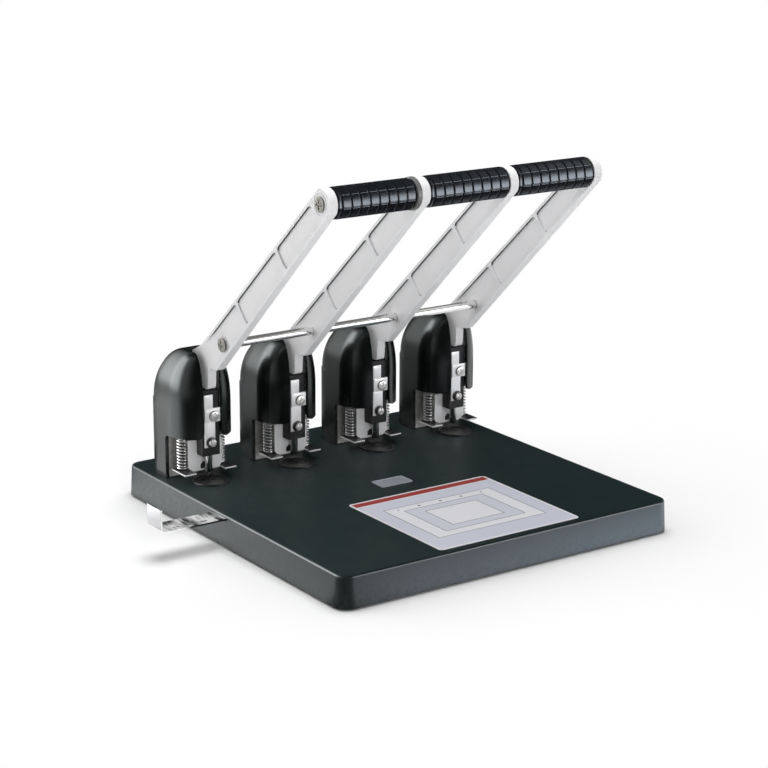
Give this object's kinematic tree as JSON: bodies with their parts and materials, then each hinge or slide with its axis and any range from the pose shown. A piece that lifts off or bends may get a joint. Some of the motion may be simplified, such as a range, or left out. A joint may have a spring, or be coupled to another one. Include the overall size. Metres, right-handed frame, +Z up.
{
  "type": "four-hole punch",
  "caption": "Wide desk punch: flat base with punch heads in a row under domed hoods, joined to one gripped lever, with turning cutting discs and a sliding paper guide.",
  "frame": {"origin": "on the table under the middle of the whole part's box", "axes": "+X along the row of heads to the right as the user stands, +Y to the back, +Z up; the heads' punch axes stand at y 0.07965"},
  "size_m": [0.3612, 0.3176, 0.287],
  "materials": {
    "shell_black": "fine matt black paint with a green-grey cast",
    "cover_black": "matt black moulded plastic",
    "foot_rubber": "soft black rubber",
    "hood_black": "semi-gloss black plastic",
    "disc_black": "turned black plastic",
    "zinc": "bright zinc plate",
    "spring_steel": "bright plated wire",
    "ram_black": "blackened steel",
    "pin_steel": "ground steel",
    "cast_silver": "silver painted casting",
    "grip_rubber": "moulded black rubber",
    "collar_grey": "grey plastic",
    "chrome": "bright chrome plate",
    "plate_silver": "blank satin metal",
    "label_white": "satin printed sticker"
  },
  "bodies": {
    "base": {"base_shell": "shell_black", "base_cover": "cover_black", "foot_1": "foot_rubber", "foot_2": "foot_rubber", "foot_3": "foot_rubber", "foot_4": "foot_rubber", "name_plate": "plate_silver", "label": "label_white", "hood_1": "hood_black", "frame_1": "zinc", "pivot_1": "pin_steel", "stripper_1": "zinc", "spring_left_1": "spring_steel", "spring_right_1": "spring_steel", "hood_2": "hood_black", "frame_2": "zinc", "pivot_2": "pin_steel", "stripper_2": "zinc", "spring_left_2": "spring_steel", "spring_right_2": "spring_steel", "hood_3": "hood_black", "frame_3": "zinc", "pivot_3": "pin_steel", "stripper_3": "zinc", "spring_left_3": "spring_steel", "spring_right_3": "spring_steel", "hood_4": "hood_black", "frame_4": "zinc", "pivot_4": "pin_steel", "stripper_4": "zinc", "spring_left_4": "spring_steel", "spring_right_4": "spring_steel"},
    "lever": {"arm_1": "cast_silver", "arm_2": "cast_silver", "arm_3": "cast_silver", "arm_4": "cast_silver", "handle_bar": "pin_steel", "link_rod": "chrome", "grip_1": "grip_rubber", "grip_2": "grip_rubber", "grip_3": "grip_rubber", "grip_collar": "collar_grey"},
    "ram_1": {"ram_1": "ram_black", "pin_1": "pin_steel", "clamp_1": "zinc"},
    "ram_2": {"ram_2": "ram_black", "pin_2": "pin_steel", "clamp_2": "zinc"},
    "ram_3": {"ram_3": "ram_black", "pin_3": "pin_steel", "clamp_3": "zinc"},
    "ram_4": {"ram_4": "ram_black", "pin_4": "pin_steel", "clamp_4": "zinc"},
    "disc_1": {"disc_1": "disc_black"},
    "disc_2": {"disc_2": "disc_black"},
    "disc_3": {"disc_3": "disc_black"},
    "disc_4": {"disc_4": "disc_black"},
    "guide": {"paper_guide": "chrome"}
  },
  "joints": [
    {"name": "lever_swing", "type": "hinge", "parent": "base", "child": "lever", "pos_m": [0.02875, 0.09315, 0.1133], "axis": [1, 0, 0], "range_deg": [0, 35], "stiffness_Nm_per_rad": 2, "springref_deg": -51.57},
    {"name": "ram_slide_1", "type": "slide", "parent": "base", "child": "ram_1", "axis": [0, 0, -1], "range_m": [0, 0.0059], "deforming": ["spring_left_1", "spring_right_1"]},
    {"name": "ram_slide_2", "type": "slide", "parent": "base", "child": "ram_2", "axis": [0, 0, -1], "range_m": [0, 0.0059], "deforming": ["spring_left_2", "spring_right_2"]},
    {"name": "ram_slide_3", "type": "slide", "parent": "base", "child": "ram_3", "axis": [0, 0, -1], "range_m": [0, 0.0059], "deforming": ["spring_left_3", "spring_right_3"]},
    {"name": "ram_slide_4", "type": "slide", "parent": "base", "child": "ram_4", "axis": [0, 0, -1], "range_m": [0, 0.0059], "deforming": ["spring_left_4", "spring_right_4"]},
    {"name": "disc_turn_1", "type": "hinge", "parent": "base", "child": "disc_1", "pos_m": [-0.09125, 0.07965, 0.026], "axis": [0, 0, 1], "continuous": true},
    {"name": "disc_turn_2", "type": "hinge", "parent": "base", "child": "disc_2", "pos_m": [-0.01125, 0.07965, 0.026], "axis": [0, 0, 1], "continuous": true},
    {"name": "disc_turn_3", "type": "hinge", "parent": "base", "child": "disc_3", "pos_m": [0.06875, 0.07965, 0.026], "axis": [0, 0, 1], "continuous": true},
    {"name": "disc_turn_4", "type": "hinge", "parent": "base", "child": "disc_4", "pos_m": [0.14875, 0.07965, 0.026], "axis": [0, 0, 1], "continuous": true},
    {"name": "guide_slide", "type": "slide", "parent": "base", "child": "guide", "axis": [1, 0, 0], "range_m": [-0.04, 0.05]}
  ],
  "couplings": [
    {"joint": "ram_slide_1", "follows": "lever_swing", "m_per_rad": 0.009652},
    {"joint": "ram_slide_2", "follows": "lever_swing", "m_per_rad": 0.009652},
    {"joint": "ram_slide_3", "follows": "lever_swing", "m_per_rad": 0.009652},
    {"joint": "ram_slide_4", "follows": "lever_swing", "m_per_rad": 0.009652}
  ]
}
